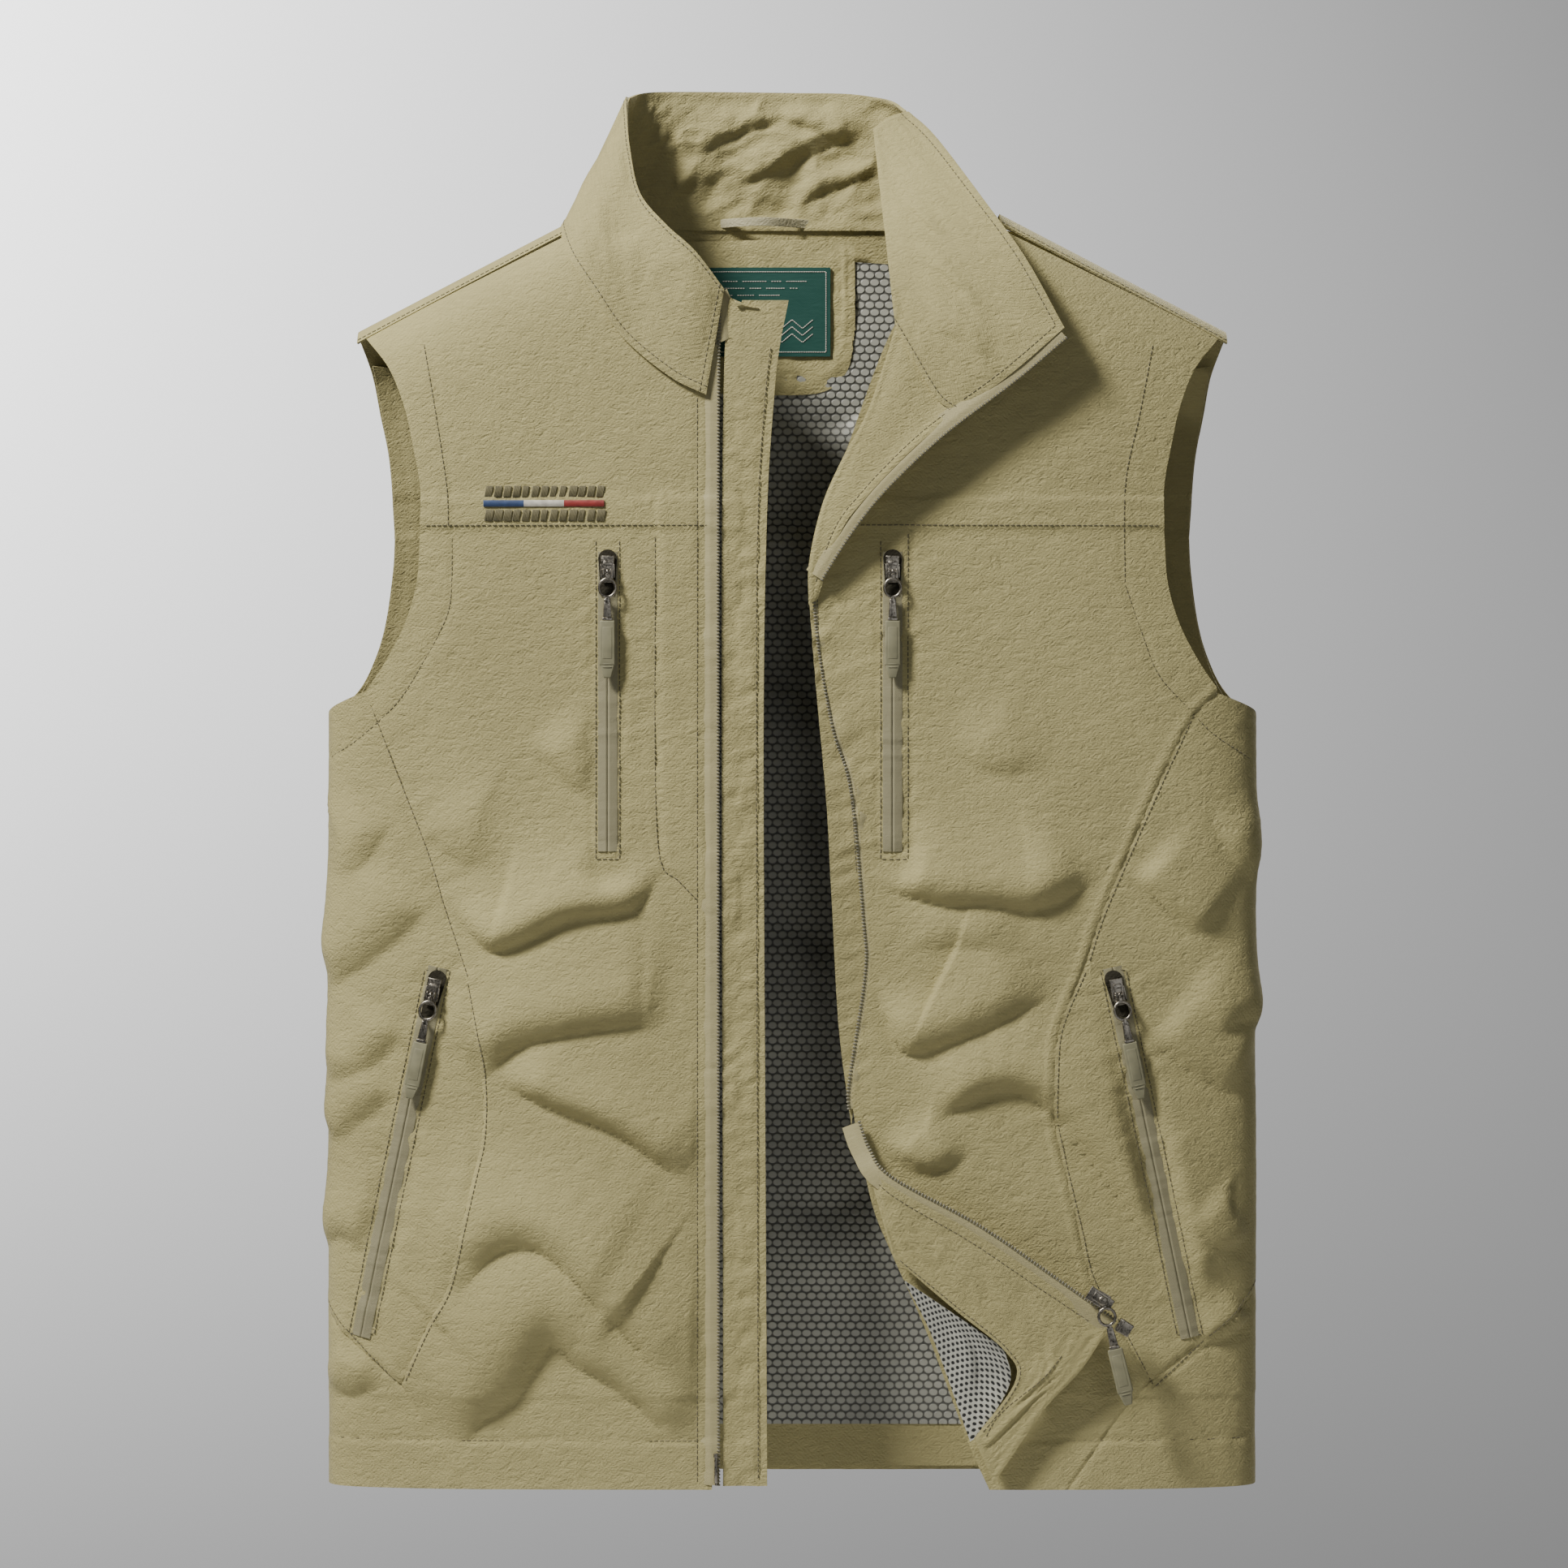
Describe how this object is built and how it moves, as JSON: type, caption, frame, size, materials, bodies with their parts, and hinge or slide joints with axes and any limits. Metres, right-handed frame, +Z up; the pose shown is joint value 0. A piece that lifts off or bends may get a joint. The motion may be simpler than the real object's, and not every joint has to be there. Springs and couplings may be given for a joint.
{
  "type": "fishing vest",
  "caption": "Sleeveless khaki zip-front fishing vest with stand collar, mesh lining, chest and hand zip pockets, hung open by its hanger loop.",
  "frame": {"origin": "the middle of the hanger loop inside the back neck", "axes": "+X to the wearer's left, -Y to the vest's front, +Z up towards the collar"},
  "size_m": [0.524, 0.0991, 0.7904],
  "materials": {
    "shell_cloth": "peached khaki nylon, plain weave, slight dry sheen",
    "mesh_lining": "open warp-knit mesh, silver grey, faint lustre",
    "pocketing": "thin plain-weave pocketing",
    "zip_tape": "coated herringbone zip tape with moulded teeth",
    "zip_metal": "antique nickel plating, worn bright on edges",
    "rubber_tab": "matt olive moulded rubber",
    "woven_label": "dense woven satin label, deep green",
    "satin_thread": "raised satin-stitch thread in three colours",
    "hanger_tape": "narrow folded cloth tape"
  },
  "bodies": {
    "vest": {"back_panel": "shell_cloth", "back_yoke": "shell_cloth", "back_lining": "mesh_lining", "back_hem_band": "shell_cloth", "back_neck_facing": "shell_cloth", "neck_label": "woven_label", "hanger_loop": "hanger_tape", "collar_back": "shell_cloth", "collar_left_stand": "shell_cloth", "collar_left_leaf": "shell_cloth", "lapel_facing_left": "shell_cloth", "shoulder_yoke_right": "shell_cloth", "shoulder_yoke_left": "shell_cloth", "armhole_facing_right": "shell_cloth", "armhole_facing_left": "shell_cloth", "front_yoke_left": "shell_cloth", "chest_panel_left": "shell_cloth", "side_panel_left": "shell_cloth", "hip_panel_left": "shell_cloth", "front_facing_left": "shell_cloth", "main_zip_tape_left": "zip_tape", "corner_facing_left": "shell_cloth", "corner_mesh_left": "mesh_lining", "front_lining_left": "mesh_lining", "retaining_box": "zip_metal", "front_yoke_right_outer": "shell_cloth", "chest_panel_right_outer": "shell_cloth", "side_panel_right": "shell_cloth", "hip_panel_right": "shell_cloth", "chest_zip_tape_left": "zip_tape", "hand_zip_tape_left": "zip_tape", "hand_zip_tape_right": "zip_tape", "chest_pocket_bag_left": "pocketing", "hand_pocket_bag_left": "pocketing", "hand_pocket_bag_right": "pocketing"},
    "front_right": {"front_yoke_right": "shell_cloth", "chest_panel_right": "shell_cloth", "collar_right": "shell_cloth", "main_zip_tape_right": "zip_tape", "front_lining_right": "mesh_lining", "chest_zip_tape_right": "zip_tape", "chest_pocket_bag_right": "pocketing", "embroidery": "satin_thread", "insert_pin": "zip_metal"},
    "wind_flap": {"wind_flap": "shell_cloth"},
    "chest_slider_right": {"chest_slider_right": "zip_metal"},
    "chest_pull_right": {"chest_pull_right": "zip_metal", "chest_tab_right": "rubber_tab"},
    "chest_slider_left": {"chest_slider_left": "zip_metal"},
    "chest_pull_left": {"chest_pull_left": "zip_metal", "chest_tab_left": "rubber_tab"},
    "hand_slider_right": {"hand_slider_right": "zip_metal"},
    "hand_pull_right": {"hand_pull_right": "zip_metal", "hand_tab_right": "rubber_tab"},
    "hand_slider_left": {"hand_slider_left": "zip_metal"},
    "hand_pull_left": {"hand_pull_left": "zip_metal", "hand_tab_left": "rubber_tab"},
    "main_slider": {"main_slider": "zip_metal"},
    "main_pull": {"main_pull": "zip_metal", "main_tab": "rubber_tab"}
  },
  "joints": [
    {"name": "front_right_open", "type": "hinge", "parent": "vest", "child": "front_right", "pos_m": [-0.107, -0.0622, -0.366], "axis": [0, 0, -1], "range_deg": [0, 105]},
    {"name": "wind_flap_fold", "type": "hinge", "parent": "front_right", "child": "wind_flap", "pos_m": [-0.022, -0.0623, -0.386], "axis": [0, 0, -1], "range_deg": [0, 130]},
    {"name": "chest_zip_right", "type": "slide", "parent": "front_right", "child": "chest_slider_right", "axis": [0, 0, -1], "range_m": [0, 0.138]},
    {"name": "chest_pull_right_swing", "type": "hinge", "parent": "chest_slider_right", "child": "chest_pull_right", "pos_m": [-0.085, -0.0666, -0.20375], "axis": [-1, 0, 0], "range_deg": [0, 150]},
    {"name": "chest_zip_left", "type": "slide", "parent": "vest", "child": "chest_slider_left", "axis": [0, 0, -1], "range_m": [0, 0.138]},
    {"name": "chest_pull_left_swing", "type": "hinge", "parent": "chest_slider_left", "child": "chest_pull_left", "pos_m": [0.074, -0.0666, -0.20375], "axis": [-1, 0, 0], "range_deg": [0, 150]},
    {"name": "hand_zip_right", "type": "slide", "parent": "vest", "child": "hand_slider_right", "axis": [-0.2059, 0.0299, -0.9781], "range_m": [0, 0.165]},
    {"name": "hand_pull_right_swing", "type": "hinge", "parent": "hand_slider_right", "child": "hand_pull_right", "pos_m": [-0.18359, -0.06361, -0.43963], "axis": [-0.969, 0.1362, 0.2062], "range_deg": [0, 150]},
    {"name": "hand_zip_left", "type": "slide", "parent": "vest", "child": "hand_slider_left", "axis": [0.2109, 0.0175, -0.9774], "range_m": [0, 0.165]},
    {"name": "hand_pull_left_swing", "type": "hinge", "parent": "hand_slider_left", "child": "hand_pull_left", "pos_m": [0.20044, -0.06488, -0.43963], "axis": [-0.9748, -0.0853, -0.2062], "range_deg": [0, 150]},
    {"name": "main_zip", "type": "slide", "parent": "vest", "child": "main_slider", "axis": [-0.8556, 0.0138, 0.5175], "range_m": [0, 0.04]},
    {"name": "main_pull_swing", "type": "hinge", "parent": "main_slider", "child": "main_pull", "pos_m": [0.19, -0.0821, -0.6082], "axis": [0, -1, 0], "range_deg": [-50, 60]}
  ]
}
